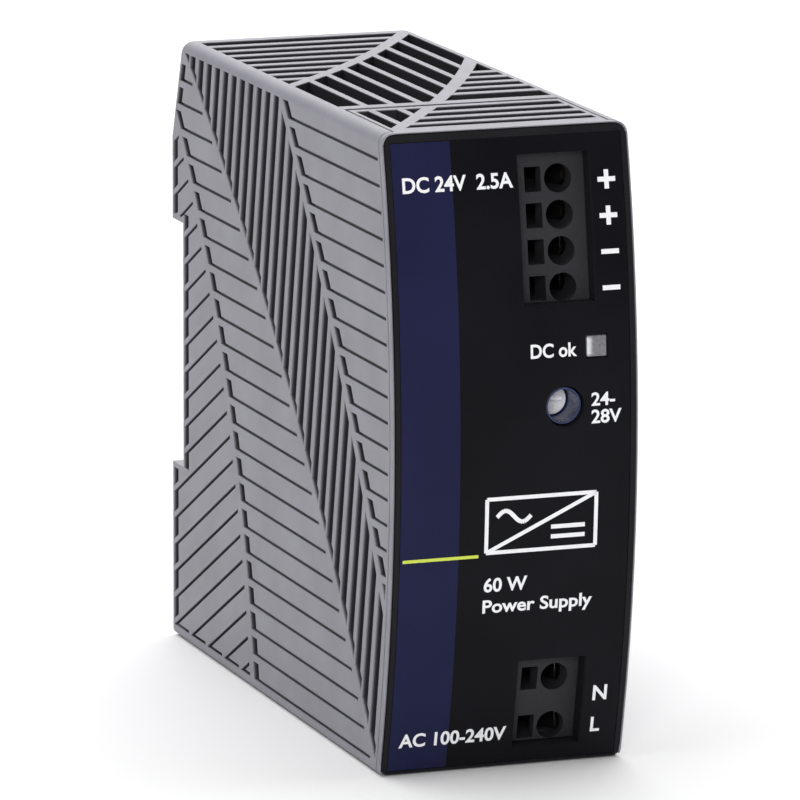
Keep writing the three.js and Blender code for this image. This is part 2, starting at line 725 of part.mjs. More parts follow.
function railLatch() {
  const noseFront = REAR - HOOK_THICKNESS;
  const flange = block([-LATCH.flangeHalf, LATCH.flangeHalf], LATCH_FLANGE, [LATCH.low, RECESS_LOW - 0.9]);
  const neck = alongX(
    [
      [LATCH.flangeFront + 0.5, LATCH.low],
      [REAR - 0.1, LATCH.low],
      [REAR - 0.1, LATCH.noseTop - 1.6],
      [noseFront + 0.5, LATCH.noseTop],
      [noseFront, LATCH.noseTop],
      [noseFront, RECESS_LOW - 0.9],
      [LATCH.flangeFront + 0.5, RECESS_LOW - 0.9],
    ],
    -LATCH.half,
    LATCH.half,
  );
  const window = block([-1.7, 1.7], [LATCH.flangeFront - 1, REAR + 1], [5.4, SPRING.high + 0.1]);
  const pryHole = block([-2.2, 2.2], [REAR - 2, REAR + 1], [LATCH.low - 1, LATCH.low + 1.2]);
  return cutAll(flange.add(neck), [window, pryHole]);
}

class Helix extends THREE.Curve {
  constructor({ low, high, radius, turns }) {
    super();
    Object.assign(this, { low, high, radius, turns });
  }

  getPoint(t, target = new THREE.Vector3()) {
    const angle = 2 * Math.PI * this.turns * t;
    const z = this.low + (this.high - this.low) * t;
    return target.set(this.radius * Math.cos(angle), this.radius * Math.sin(angle), z);
  }
}

function latchSpring() {
  const { low, high, radius, wire, turns } = SPRING;
  const outline = Array.from({ length: 5 }, (_, i) => {
    const angle = (i * 2 * Math.PI) / 5;
    return new THREE.Vector2(wire * Math.cos(angle), wire * Math.sin(angle));
  });
  const path = new Helix({ low: low + wire, high: high - wire, radius, turns });
  const options = { steps: turns * 9, bevelEnabled: false, extrudePath: path };
  return solid(new THREE.ExtrudeGeometry(new THREE.Shape(outline), options));
}

// ---------------------------------------------------------------- board and its parts

function mainBoard() {
  const { left, right, front, rear, low, high } = BOARD;
  return block([left, right], [front, rear], [low, high]);
}

/** A box on the board: from the board's face to its top, over the given y and z spans. */
const onBoard = (height, ySpan, zSpan) => block([BOARD_FACE - height, BOARD_FACE], ySpan, zSpan);

function chamferedCan(y, z, radius, height) {
  const can = discX([y, z], radius, BOARD_FACE - height, BOARD_FACE, 24);
  const groove = discX([y, z], radius + 1, BOARD_FACE - 2.6, BOARD_FACE - 1.8, 24).subtract(
    discX([y, z], radius - 0.5, BOARD_FACE - 3, BOARD_FACE - 1, 24),
  );
  return can.subtract(groove);
}

const TRANSFORMER = { y: 41, z: 46, half: 12.5, core: 20.5 };

function transformerCore() {
  const { y, z, half, core } = TRANSFORMER;
  const left = BOARD_FACE - core;
  const body = block([left, left + 14], [y - half, y + half], [z - 6.2, z + 6.2]);
  const window = block([left + 3.4, left + 10.6], [y - 9, y + 9], [z - 8, z + 8]);
  const leg = block([left + 3, left + 11], [y - 3, y + 3], [z - 6.2, z + 6.2]);
  return body.subtract(window).add(leg);
}

function transformerWinding() {
  const { y, z, core } = TRANSFORMER;
  const left = BOARD_FACE - core;
  const coil = block([left + 3.7, left + 10.3], [y - 8.7, y + 8.7], [z - 9, z + 9]);
  const base = block([left + 10, BOARD_FACE], [y - 8.7, y + 8.7], [z - 12.4, z - 7]);
  const baseTop = block([left + 10, BOARD_FACE], [y - 8.7, y + 8.7], [z + 7, z + 12.4]);
  const coreLeg = block([left, left + 14.3], [y - 3.3, y + 3.3], [z - 20, z + 20]);
  const channel = block([left + 3.7, left + 10.3], [y - 3.3, y + 3.3], [z - 6.5, z + 6.5]);
  return cutAll(joinAll([coil, base, baseTop]), [coreLeg.subtract(channel), channel]);
}

function heatSink() {
  const plate = block([-12, BOARD_FACE], [60.5, 62], [30, 82]);
  const fins = [36, 42, 48, 54, 60, 66, 72, 78].map((z) => block([-11, 8], [61.9, 64.4], [z, z + 1]));
  return joinAll([plate, ...fins]);
}

/** A power semiconductor: a moulded body on a metal tab, flat against the heat sink. */
function powerDevice(z) {
  const tab = block([-9.5, -3], [59.0, 60.2], [z - 5, z + 5]);
  const body = block([-6, 3.2], [55.8, 60.2], [z - 5, z + 5]);
  const legs = [-2.54, 0, 2.54].map((dz) => block([3, BOARD_FACE], [57.2, 57.9], [z + dz - 0.4, z + dz + 0.4]));
  const hole = discY([-7.8, z], 1.6, 50, 65, 16);
  return joinAll([tab, body, ...legs]).subtract(hole);
}

const CHOKE = { y: 28, z: 12 };

function chokeCore() {
  const { y, z } = CHOKE;
  const left = BOARD_FACE - 17;
  const outer = block([left, left + 15], [y - 3.5, y + 3.5], [z - 7.5, z + 7.5]);
  return outer.subtract(block([left + 3.4, left + 11.6], [y - 5, y + 5], [z - 4.2, z + 4.2]));
}

function chokeWinding() {
  const { y, z } = CHOKE;
  const left = BOARD_FACE - 17;
  const coils = [-1, 1].map((side) => {
    const middle = side < 0 ? left + 1.7 : left + 13.3;
    return block([middle - 3.2, middle + 3.2], [y - 5.4, y + 5.4], [z - 3.9, z + 3.9]);
  });
  const bridge = block([left + 4, left + 11], [y + 3.9, y + 5.4], [z - 3.9, z + 3.9]);
  const legSpace = block([left - 0.3, left + 15.3], [y - 3.8, y + 3.8], [z - 9, z + 9]);
  const windowSide = block([left + 3.7, left + 11.3], [y - 3.8, y + 3.8], [z - 3.9, z + 3.9]);
  return joinAll([...coils, bridge]).subtract(legSpace.subtract(windowSide));
}

function outputChoke() {
  const drum = discX([28, 80], 5, BOARD_FACE - 13, BOARD_FACE, 20);
  const waist = discX([28, 80], 6, BOARD_FACE - 11, BOARD_FACE - 2, 20);
  const core = discX([28, 80], 4.4, BOARD_FACE - 12, BOARD_FACE - 1, 20);
  return drum.subtract(waist.subtract(core));
}

function safetyCapacitor() {
  const disc = discZ([BOARD_FACE - 6.5, 70], 4.6, 45.5, 48.5, 20);
  const legs = [-2.5, 2.5].map((dy) => block([BOARD_FACE - 4, BOARD_FACE], [69.7 + dy, 70.3 + dy], [46.7, 47.3]));
  return joinAll([disc, ...legs]);
}

// ---------------------------------------------------------------- finishes

const FINISHES = {
  housing: { color: 0x92909a, roughness: 0.6, metalness: 0 },
  black: { color: 0x1c1c1f, roughness: 0.5, metalness: 0 },
  label: { color: 0x16161c, roughness: 0.4, metalness: 0 },
  terminal: { color: 0x303033, roughness: 0.55, metalness: 0 },
  steel: { color: 0xc0c2c6, roughness: 0.3, metalness: 1 },
  copper: { color: 0xb5a878, roughness: 0.35, metalness: 1 },
  lens: { color: 0xb8bab8, roughness: 0.25, metalness: 0 },
  blue: { color: 0x1f3a86, roughness: 0.45, metalness: 0 },
  rotor: { color: 0xd8d8de, roughness: 0.5, metalness: 0 },
  board: { color: 0x1f5a3a, roughness: 0.5, metalness: 0 },
  ferrite: { color: 0x35353a, roughness: 0.7, metalness: 0.1 },
  winding: { color: 0xd0a63c, roughness: 0.5, metalness: 0 },
  wire: { color: 0xa65a2a, roughness: 0.35, metalness: 0.8 },
  sleeve: { color: 0x202226, roughness: 0.35, metalness: 0 },
  aluminium: { color: 0xb9bbbf, roughness: 0.4, metalness: 1 },
  chip: { color: 0x1a1a1c, roughness: 0.5, metalness: 0 },
  film: { color: 0xc8b84a, roughness: 0.5, metalness: 0 },
  ceramic: { color: 0x2a62b0, roughness: 0.45, metalness: 0 },
};

const supply = new THREE.Group();
supply.position.set(0, -(DEPTH / 2 - BULGE), 0);

/** Adds one piece, drawn in place or drawn around the point that it is then moved to. */
function piece(name, shape, finish, at = [0, 0, 0]) {
  const mesh = new THREE.Mesh(geometryOf(shape), new THREE.MeshStandardMaterial(FINISHES[finish]));
  mesh.name = name;
  mesh.position.set(...at);
  supply.add(mesh);
}

function addCase() {
  piece('rear_housing', rearHousing(), 'housing');
  piece('front_frame', frontFrame(), 'housing');
  piece('front_cover', frontCover(), 'black');
  piece('front_label', frontLabel(), 'label');
  piece('rail_latch', railLatch(), 'housing');
  piece('latch_spring', latchSpring(), 'steel', [0, (LATCH_FLANGE[0] + REAR) / 2 - 0.4, 0]);
}

function addTerminals(poles) {
  piece(`${poles.name}_terminal_block`, terminalBlock(poles), 'terminal');
  poles.heights.forEach((z, index) => {
    piece(`${poles.name}_clamp_${index + 1}`, clampSpring(), 'steel', [poles.x + PIVOT.x, PIVOT.y, z]);
    piece(`${poles.name}_contact_${index + 1}`, contactBar(poles, z), 'copper');
  });
}

function addFrontControls() {
  piece('lamp_window', lampWindow(), 'lens');
  piece('status_lamp', statusLamp(), 'lens');
  piece('trimmer_body', trimmerBody(), 'blue');
  piece('trimmer_rotor', trimmerRotor(), 'rotor', [TRIMMER.x, 0.6, TRIMMER.z]);
}

function addBoard() {
  piece('main_board', mainBoard(), 'board');
  piece('input_fuse', discX([26, 25.5], 4.2, BOARD_FACE - 8, BOARD_FACE), 'chip');
  piece('line_choke_core', chokeCore(), 'ferrite');
  piece('line_choke_winding', chokeWinding(), 'wire');
  piece('line_capacitor', onBoard(14, [36.5, 44.5], [4, 22]), 'film');
  piece('bridge_rectifier', onBoard(11, [47.5, 51], [4.5, 20]), 'chip');
  piece('bulk_capacitor', chamferedCan(65, 16, 9, 26), 'sleeve');
  piece('transformer_core', transformerCore(), 'ferrite');
  piece('transformer_winding', transformerWinding(), 'winding');
  piece('heat_sink', heatSink(), 'aluminium');
  piece('primary_switch', powerDevice(38), 'chip');
  piece('output_diode', powerDevice(72), 'chip');
  piece('output_capacitor_1', chamferedCan(41, 79, 5, 20), 'sleeve');
  piece('output_capacitor_2', chamferedCan(50.2, 73, 5, 20), 'sleeve');
  piece('output_choke', outputChoke(), 'wire');
  piece('optocoupler', onBoard(3.5, [66, 70.6], [54, 60.4]), 'chip');
  piece('safety_capacitor', safetyCapacitor(), 'ceramic');
  piece('control_chip', onBoard(1.8, [64, 68], [34, 39]), 'chip');
}

addCase();
addTerminals(OUTPUT_POLES);
addTerminals(INPUT_POLES);
addFrontControls();
addBoard();

export default supply;
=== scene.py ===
"""Looks for the DIN rail power supply: finishes, print, bevelled edges, studio light and camera.

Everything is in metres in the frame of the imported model: +Z up, the front faces -Y, and the origin is the
middle of the underside.
"""

import json
import math

import bmesh
import bpy
from mathutils import Matrix, Vector


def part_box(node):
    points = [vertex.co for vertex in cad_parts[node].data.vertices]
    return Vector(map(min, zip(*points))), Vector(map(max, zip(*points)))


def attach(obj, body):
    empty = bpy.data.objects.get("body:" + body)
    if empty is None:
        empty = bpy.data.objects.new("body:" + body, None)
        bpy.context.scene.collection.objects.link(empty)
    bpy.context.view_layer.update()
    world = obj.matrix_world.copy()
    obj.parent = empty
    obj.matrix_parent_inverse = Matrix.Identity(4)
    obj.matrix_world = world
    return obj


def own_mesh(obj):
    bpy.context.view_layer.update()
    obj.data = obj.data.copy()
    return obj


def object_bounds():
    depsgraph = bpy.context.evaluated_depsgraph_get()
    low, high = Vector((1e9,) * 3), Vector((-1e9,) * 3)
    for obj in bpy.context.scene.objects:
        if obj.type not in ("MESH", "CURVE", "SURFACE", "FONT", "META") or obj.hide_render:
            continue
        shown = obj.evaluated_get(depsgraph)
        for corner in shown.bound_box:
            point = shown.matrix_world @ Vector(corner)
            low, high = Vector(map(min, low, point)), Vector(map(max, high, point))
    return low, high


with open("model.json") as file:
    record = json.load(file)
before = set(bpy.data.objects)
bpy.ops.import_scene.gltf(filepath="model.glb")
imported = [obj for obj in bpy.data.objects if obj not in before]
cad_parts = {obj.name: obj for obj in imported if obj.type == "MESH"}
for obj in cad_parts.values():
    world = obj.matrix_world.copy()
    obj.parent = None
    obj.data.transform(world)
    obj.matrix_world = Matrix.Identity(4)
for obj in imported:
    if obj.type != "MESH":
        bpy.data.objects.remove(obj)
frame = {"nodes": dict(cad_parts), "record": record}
cad_low, cad_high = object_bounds()
nodes = frame["nodes"]

MM = 0.001
BULGE = 5.4 * MM  # how far the middle of the front stands before its corners
WALL = 2.1 * MM  # thickness of the side walls


# ---------------------------------------------------------------- the convex front


def front_radius():
    half_height = (cad_high.z - cad_low.z) / 2
    return (half_height**2 + BULGE**2) / (2 * BULGE)


def front_y(z):
    """Where the convex front lies at a height."""
    radius = front_radius()
    middle = (cad_low.z + cad_high.z) / 2
    return cad_low.y + radius - math.sqrt(radius**2 - (z - middle) ** 2)


# ---------------------------------------------------------------- node fields


class Field:
    """A number that varies over a surface, as a socket in a material's node tree."""

    def __init__(self, tree, socket):
        self.tree = tree
        self.socket = socket

    def _math(self, operation, *others):
        node = self.tree.nodes.new("ShaderNodeMath")
        node.operation = operation
        self.tree.links.new(self.socket, node.inputs[0])
        for index, other in enumerate(others, start=1):
            if isinstance(other, Field):
                self.tree.links.new(other.socket, node.inputs[index])
            else:
                node.inputs[index].default_value = other
        return Field(self.tree, node.outputs[0])

    def __add__(self, other):
        return self._math("ADD", other)

    def __sub__(self, other):
        return self._math("SUBTRACT", other)

    def __mul__(self, other):
        return self._math("MULTIPLY", other)

    def __abs__(self):
        return self._math("ABSOLUTE")

    def larger(self, other):
        return self._math("MAXIMUM", other)

    def smaller(self, other):
        return self._math("MINIMUM", other)

    def above(self, limit):
        return self._math("GREATER_THAN", limit)

    def below(self, limit):
        return self._math("LESS_THAN", limit)

    def wave(self):
        return self._math("SINE")

    def rise(self, low, high, start=0.0, end=1.0):
        """A smooth step from start, at low, to end, at high."""
        node = self.tree.nodes.new("ShaderNodeMapRange")
        node.interpolation_type = "SMOOTHSTEP"
        self.tree.links.new(self.socket, node.inputs["Value"])
        node.inputs["From Min"].default_value = low
        node.inputs["From Max"].default_value = high
        node.inputs["To Min"].default_value = start
        node.inputs["To Max"].default_value = end
        return Field(self.tree, node.outputs["Result"])

    def spread(self, start=0.0, end=1.0):
        """Most of a noise's own range, stretched from start to end."""
        return self.rise(0.3, 0.7, start, end)


class Finish:
    """One material with helpers for the textures that its look is built from."""

    def __init__(self, name, metallic=0.0, specular=0.5):
        self.material = bpy.data.materials.new(name)
        self.material.use_nodes = True
        self.tree = self.material.node_tree
        self.shader = self.tree.nodes["Principled BSDF"]
        self.shader.inputs["Metallic"].default_value = metallic
        self.shader.inputs["Specular IOR Level"].default_value = specular
        self.coordinates = self.tree.nodes.new("ShaderNodeTexCoord")

    def place(self):
        """The three coordinates of a point of the piece, in metres."""
        split = self.tree.nodes.new("ShaderNodeSeparateXYZ")
        self.tree.links.new(self.coordinates.outputs["Object"], split.inputs[0])
        return [Field(self.tree, output) for output in split.outputs]

    def facing(self):
        """The three parts of the surface's own direction."""
        split = self.tree.nodes.new("ShaderNodeSeparateXYZ")
        self.tree.links.new(self.coordinates.outputs["Normal"], split.inputs[0])
        return [Field(self.tree, output) for output in split.outputs]

    def noise(self, size, detail=3.0, stretch=(1, 1, 1)):
        """Clouds of about the given size in metres, from 0 to 1."""
        mapping = self.tree.nodes.new("ShaderNodeMapping")
        mapping.inputs["Scale"].default_value = stretch
        node = self.tree.nodes.new("ShaderNodeTexNoise")
        node.inputs["Scale"].default_value = 1 / size
        node.inputs["Detail"].default_value = detail
        self.tree.links.new(self.coordinates.outputs["Object"], mapping.inputs["Vector"])
        self.tree.links.new(mapping.outputs["Vector"], node.inputs["Vector"])
        return Field(self.tree, node.outputs["Fac"])

    def cells(self, size):
        """Distance from the edges of random cells of the given size."""
        node = self.tree.nodes.new("ShaderNodeTexVoronoi")
        node.feature = "DISTANCE_TO_EDGE"
        node.inputs["Scale"].default_value = 1 / size
        self.tree.links.new(self.coordinates.outputs["Object"], node.inputs["Vector"])
        return Field(self.tree, node.outputs["Distance"])

    def blend(self, amount, first, second):
        """A colour between first and second, each a colour or the socket of another blend."""
        node = self.tree.nodes.new("ShaderNodeMix")
        node.data_type = "RGBA"
        self.tree.links.new(amount.socket, node.inputs["Factor"])
        for name, colour in (("A", first), ("B", second)):
            socket = next(s for s in node.inputs if s.name == name and s.type == "RGBA")
            if isinstance(colour, bpy.types.NodeSocket):
                self.tree.links.new(colour, socket)
            else:
                socket.default_value = (*colour, 1)
        return next(s for s in node.outputs if s.type == "RGBA")

    def colour(self, socket):
        self.tree.links.new(socket, self.shader.inputs["Base Color"])

    def roughness(self, field):
        self.tree.links.new(field.socket, self.shader.inputs["Roughness"])

    def relief(self, *layers):
        """Bumps: each layer is a field and the height that a change of one in it stands for."""
        normal = None
        for field, height in layers:
            node = self.tree.nodes.new("ShaderNodeBump")
            node.inputs["Strength"].default_value = 1.0
            node.inputs["Distance"].default_value = height
            self.tree.links.new(field.socket, node.inputs["Height"])
            if normal is not None:
                self.tree.links.new(normal, node.inputs["Normal"])
            normal = node.outputs["Normal"]
        self.tree.links.new(normal, self.shader.inputs["Normal"])


def shade(colour, factor):
    return tuple(channel * factor for channel in colour)


# ---------------------------------------------------------------- finishes of the case

HOUSING_GREY = (0.255, 0.252, 0.285)
HOUSING_SHADOW = (0.02, 0.019, 0.025)
REAR_DEPTH = 5.2 * MM  # from the rear face to just in front of the floor of the rail recess
RELIEF_REACH = 1.75 * MM  # just past the deepest cut of the side relief
ROUNDED_EDGE = 1.45 * MM  # the relief's shade keeps this far from the top and the underside
TOP_REACH = 20 * MM  # level faces lower than this below the top are ledges of the recess
HAIR = 0.02 * MM  # keeps the skin itself out of the shade
SHALLOW_SHADE = 0.62  # of the full shade, in a shallow cut; a deep one gets the rest as well


def housing_finish():
    """Grey moulded plastic. Its relief and its grille gather shade with depth below the skin."""
    finish = Finish("moulded_grey", specular=0.4)
    x, y, z = finish.place()
    _, facing_rear, facing_up = finish.facing()
    side_depth = abs(x) * -1 + cad_high.x
    skin_depth = (z * -1 + cad_high.z).smaller(z)
    near_rear = y.above(cad_high.y - REAR_DEPTH)
    level = abs(facing_up).above(0.95)
    ledge = level * z.below(cad_high.z - TOP_REACH)
    rear_skin = near_rear * facing_rear.above(0.5).larger(ledge)

    in_relief = side_depth.below(RELIEF_REACH) * skin_depth.above(ROUNDED_EDGE)
    shallow = side_depth.rise(HAIR, 0.3 * MM, 0.0, SHALLOW_SHADE)
    deep = side_depth.rise(0.36 * MM, 0.55 * MM, 0.0, 1 - SHALLOW_SHADE)
    relief_shade = (shallow + deep) * in_relief
    between_walls = abs(x).below(cad_high.x - WALL + HAIR)
    in_grille = between_walls * y.below(cad_high.y - REAR_DEPTH)
    grille_shade = skin_depth.rise(HAIR, 0.25 * MM) * in_grille
    shadow = relief_shade.larger(grille_shade) * (rear_skin * -1 + 1)

    mottle = finish.noise(9 * MM, detail=2)
    speckle = finish.noise(0.35 * MM, detail=4)
    tone = mottle * 0.5 + speckle * 0.5
    lit = finish.blend(tone.spread(), shade(HOUSING_GREY, 0.9), shade(HOUSING_GREY, 1.1))
    finish.colour(finish.blend(shadow.rise(0.0, 0.85), lit, HOUSING_SHADOW))
    finish.roughness(speckle.rise(0.25, 0.75, 0.46, 0.62))
    finish.relief((finish.noise(0.28 * MM, detail=3), 0.012 * MM), (mottle, 0.01 * MM))
    return finish.material


def grained_finish(name, colour, roughness=(0.4, 0.55), grain=0.3 * MM, specular=0.4):
    """Moulded plastic with a fine grain."""
    finish = Finish(name, specular=specular)
    speckle = finish.noise(grain, detail=4)
    cloud = finish.noise(11 * MM, detail=2)
    tone = (speckle + cloud) * 0.5
    finish.colour(finish.blend(tone.spread(), shade(colour, 0.8), shade(colour, 1.25)))
    finish.roughness(tone.spread(*roughness))
    finish.relief((speckle, 0.01 * MM))
    return finish.material


LABEL_BLACK = (0.0065, 0.0065, 0.0085)
LABEL_NAVY = (0.015, 0.016, 0.052)
STRIPE_EDGE = -8.2 * MM


def label_finish():
    """Satin printed foil: a navy stripe down the left and black to the right of it."""
    finish = Finish("printed_foil", specular=0.06)
    x, _, _ = finish.place()
    fibre = finish.noise(0.12 * MM, detail=4)
    cloud = finish.noise(16 * MM, detail=2)
    tone = (fibre + cloud) * 0.5
    navy = finish.blend(tone.spread(), shade(LABEL_NAVY, 0.85), shade(LABEL_NAVY, 1.15))
    black = finish.blend(tone.spread(), shade(LABEL_BLACK, 0.8), shade(LABEL_BLACK, 1.3))
    stripe = x.below(STRIPE_EDGE)
    finish.colour(finish.blend(stripe, black, navy))
    finish.roughness(tone.spread(0.3, 0.4))
    finish.relief((fibre, 0.004 * MM))
    return finish.material


def ink_finish(name, colour):
    """Screen printed ink: slightly uneven."""
    finish = Finish(name, specular=0.4)
    grain = finish.noise(0.15 * MM, detail=3)
    finish.colour(finish.blend(grain.spread(), shade(colour, 0.92), colour))
    finish.roughness(grain.spread(0.42, 0.55))
    finish.relief((grain, 0.003 * MM))
    return finish.material


def lens_finish():
    """Frosted clear plastic with a painted highlight: brighter towards the left, in the middle of its
    height.
    """
    finish = Finish("frosted_lens", specular=0.5)
    x, _, z = finish.place()
    frost = finish.noise(0.5 * MM, detail=3)
    low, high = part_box("lamp_window")
    middle = (low.z + high.z) / 2
    highlight_from_left = (x - low.x).rise(0.1 * MM, 1.1 * MM, 1.0, 0.0)
    highlight_from_middle = abs(z - middle).rise(0.9 * MM, 1.5 * MM, 1.0, 0.0)
    # Painted highlight: the lens is paler at its left, in the middle of its height, and darker elsewhere.
    tone = highlight_from_left * highlight_from_middle * 0.75 + frost * 0.25
    finish.colour(finish.blend(tone.rise(0.0, 0.9), (0.14, 0.14, 0.15), (0.68, 0.69, 0.71)))
    finish.roughness(frost.spread(0.22, 0.4))
    finish.relief((frost, 0.02 * MM))
    return finish.material


def glossy_finish(name, colour, variation=0.15, roughness=(0.2, 0.35)):
    """Smooth plastic or lacquer."""
    finish = Finish(name, specular=0.5)
    cloud = finish.noise(4 * MM, detail=2)
    fine = finish.noise(0.4 * MM, detail=3)
    tone = (cloud + fine) * 0.5
    pale = shade(colour, 1 + variation)
    finish.colour(finish.blend(tone.spread(), shade(colour, 1 - variation), pale))
    finish.roughness(tone.spread(*roughness))
    finish.relief((fine, 0.004 * MM))
    return finish.material


def metal_finish(name, colour, roughness=(0.22, 0.38), stretch=(1, 1, 12)):
    """Drawn or rolled metal with fine streaks."""
    finish = Finish(name, metallic=1.0)
    streaks = finish.noise(0.9 * MM, detail=4, stretch=stretch)
    stains = finish.noise(3 * MM, detail=2)
    tone = streaks * 0.6 + stains * 0.4
    finish.colour(finish.blend(tone.spread(), shade(colour, 0.8), colour))
    finish.roughness(tone.spread(*roughness))
    finish.relief((streaks, 0.003 * MM))
    return finish.material


# ---------------------------------------------------------------- finishes inside


def board_finish():
    """Green solder resist with paler copper tracks under it."""
    finish = Finish("circuit_board", specular=0.5)
    tracks = finish.cells(5 * MM).rise(0.06, 0.1)
    fine = finish.noise(0.3 * MM, detail=2)
    green = finish.blend(tracks, (0.03, 0.17, 0.07), (0.012, 0.075, 0.035))
    finish.colour(finish.blend(fine.rise(0.35, 0.65, 0.0, 0.25), green, (0.02, 0.05, 0.03)))
    finish.roughness(fine.spread(0.25, 0.4))
    finish.relief((tracks, 0.03 * MM))
    return finish.material


def wound_finish(name, colour, pitch, axis, metallic=0.0, roughness=(0.3, 0.45)):
    """Turns of wire or tape that lie side by side along an axis, with painted shade in the creases between
    them.
    """
    finish = Finish(name, metallic=metallic)
    along = finish.place()[axis]
    turns = (along * (2 * math.pi / pitch)).wave()
    grain = finish.noise(0.4 * MM, detail=3)
    tone = turns * 0.35 + grain
    # Painted shade: the colour is darker in the valleys of the wave, in the creases between turns.
    finish.colour(finish.blend(tone.rise(0.0, 1.0), shade(colour, 0.55), shade(colour, 1.1)))
    finish.roughness(grain.spread(*roughness))
    finish.relief((turns, pitch * 0.12), (grain, 0.005 * MM))
    return finish.material


def can_finish():
    """Printed shrink sleeve of a capacitor, open over the pressed aluminium end."""
    finish = Finish("can_sleeve", specular=0.5)
    x, y, z = finish.place()
    rim = 0.25 * MM
    output_cans_low = 40 * MM
    stripes_per_metre = 900
    end = min(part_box(name)[0].x for name in ("output_capacitor_1", "output_capacitor_2"))
    bulk_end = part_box("bulk_capacitor")[0].x
    small = x.below(end + rim) * z.above(output_cans_low)
    large = x.below(bulk_end + rim)
    stripe = (y * stripes_per_metre).wave().above(0.93)
    grain = finish.noise(0.5 * MM, detail=3)
    sleeve = finish.blend(grain.spread(), (0.012, 0.013, 0.018), (0.02, 0.022, 0.03))
    printed = finish.blend(stripe * 0.8, sleeve, (0.3, 0.3, 0.3))
    finish.colour(finish.blend(small.larger(large), printed, (0.55, 0.56, 0.58)))
    finish.roughness(grain.spread(0.2, 0.32))
    finish.relief((grain, 0.006 * MM))
    return finish.material


FINISHES = {
    "housing": housing_finish(),
    "black_plastic": grained_finish("black_cover", (0.012, 0.012, 0.014), specular=0.09),
    "label_foil": label_finish(),
    "terminal_plastic": grained_finish("terminal_plastic", (0.027, 0.026, 0.03), (0.5, 0.65), specular=0.2),
    "spring_steel": metal_finish("spring_steel", (0.24, 0.24, 0.25)),
    "contact_metal": metal_finish("tinned_contact", (0.3, 0.27, 0.21)),
    "clear_plastic": lens_finish(),
    "blue_plastic": glossy_finish("blue_plastic", (0.009, 0.022, 0.1)),
    "white_plastic": grained_finish("light_rotor", (0.86, 0.86, 0.9), (0.3, 0.45)),
    "circuit_board": board_finish(),
    "ferrite": grained_finish("ferrite", (0.045, 0.045, 0.05), (0.6, 0.8), grain=0.6 * MM),
    "winding_tape": wound_finish("winding_tape", (0.6, 0.36, 0.05), 1.6 * MM, 2),
    "copper_wire": wound_finish("copper_wire", (0.62, 0.25, 0.1), 0.7 * MM, 2, metallic=0.9),
    "can_sleeve": can_finish(),
    "heat_sink_metal": metal_finish("heat_sink_metal", (0.7, 0.71, 0.73), (0.3, 0.45)),
    "chip_plastic": grained_finish("moulded_epoxy", (0.015, 0.015, 0.016), (0.5, 0.7)),
    "film_box": glossy_finish("film_box", (0.55, 0.42, 0.06)),
    "ceramic_coat": glossy_finish("ceramic_coat", (0.03, 0.14, 0.42)),
}

# ---------------------------------------------------------------- edges of the CAD nodes

USUAL_EDGE = 0.15  # millimetres, like the widths below
EDGE_WIDTHS = {
    "rear_housing": 0.1,
    "front_frame": 0.12,
    "front_cover": 0.2,
    "front_label": 0.04,
    "output_terminal_block": 0.22,
    "input_terminal_block": 0.22,
    "lamp_window": 0.15,
    "latch_spring": 0,
    "rail_latch": 0.25,
}


SAME_POINT = 0.002 * MM  # points nearer than this are joined
FLAT_ENOUGH = math.radians(0.4)  # faces that meet at less than this become one
SHARP_EDGE = math.radians(32)  # edges sharper than this are rounded


def soften_edges(node, width):
    """Joins the node's faces, then rounds its edges by a width in millimetres."""
    weld = node.modifiers.new("weld", "WELD")
    weld.merge_threshold = SAME_POINT
    flatten = node.modifiers.new("flatten", "DECIMATE")
    flatten.decimate_type = "DISSOLVE"
    flatten.angle_limit = FLAT_ENOUGH
    if width:
        bevel = node.modifiers.new("edges", "BEVEL")
        bevel.width = width * MM
        bevel.segments = 2
        bevel.limit_method = "ANGLE"
        bevel.angle_limit = SHARP_EDGE
    smooth = node.modifiers.new("normals", "WEIGHTED_NORMAL")
    smooth.keep_sharp = True
    for polygon in node.data.polygons:
        polygon.use_smooth = True


def finish_nodes():
    """Gives each CAD node the finish of its material slot, and its edges."""
    slots = {entry["node"]: entry["material_slot"] for entry in frame["record"]["subparts"]}
    for name, node in nodes.items():
        node.data.materials.clear()
        node.data.materials.append(FINISHES[slots[name]])
        soften_edges(node, EDGE_WIDTHS.get(name, USUAL_EDGE))


def press_spring():
    """The spring stands on its stop, and the sliding latch presses it from above. This works out how much
    of its height the latch's travel leaves and gives it a mesh of its own, but leaves its shape as it is.
    """
    low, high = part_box("latch_spring")
    joints = {joint["name"]: joint for joint in frame["record"]["behaviour"]["joints"]}
    start, end = joints["latch_slide"]["range_m"]
    keep = 1 - (end - start) / (high.z - low.z)
    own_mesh(nodes["latch_spring"])


finish_nodes()
press_spring()

# ---------------------------------------------------------------- print on the front

PRINT_PROUD = 0.02 * MM
LETTER_DEPTH = 1.4  # of a letter from back to front, in PRINT_PROUD
BOLD = 0.024  # how far the outline of a letter is pushed out, for letters of size 1
MEDIUM = 0.022
WHITE_INK = ink_finish("white_ink", (0.9, 0.9, 0.92))
LIME_INK = ink_finish("lime_ink", (0.62, 0.72, 0.08))


def bend_to_front(mesh):
    """Lays a mesh that was drawn flat in X and Z, with its thickness in Y, on the convex front."""
    work = bmesh.new()
    work.from_mesh(mesh)
    heights = [vertex.co.z for vertex in work.verts]
    step = 1.5 * MM
    level = min(heights) + step
    while level < max(heights):
        geometry = [*work.verts, *work.edges, *work.faces]
        bmesh.ops.bisect_plane(work, geom=geometry, plane_co=(0, 0, level), plane_no=(0, 0, 1), dist=1e-7)
        level += step
    for vertex in work.verts:
        vertex.co.y += front_y(vertex.co.z)
    bmesh.ops.recalc_face_normals(work, faces=work.faces)
    work.to_mesh(mesh)
    work.free()


def add_print(name, mesh, ink):
    """Lays a flat mesh on the front as print, and has it ride on the housing."""
    bend_to_front(mesh)
    mesh.materials.clear()
    mesh.materials.append(ink)
    piece = bpy.data.objects.new(name, mesh)
    bpy.context.scene.collection.objects.link(piece)
    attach(piece, "housing")


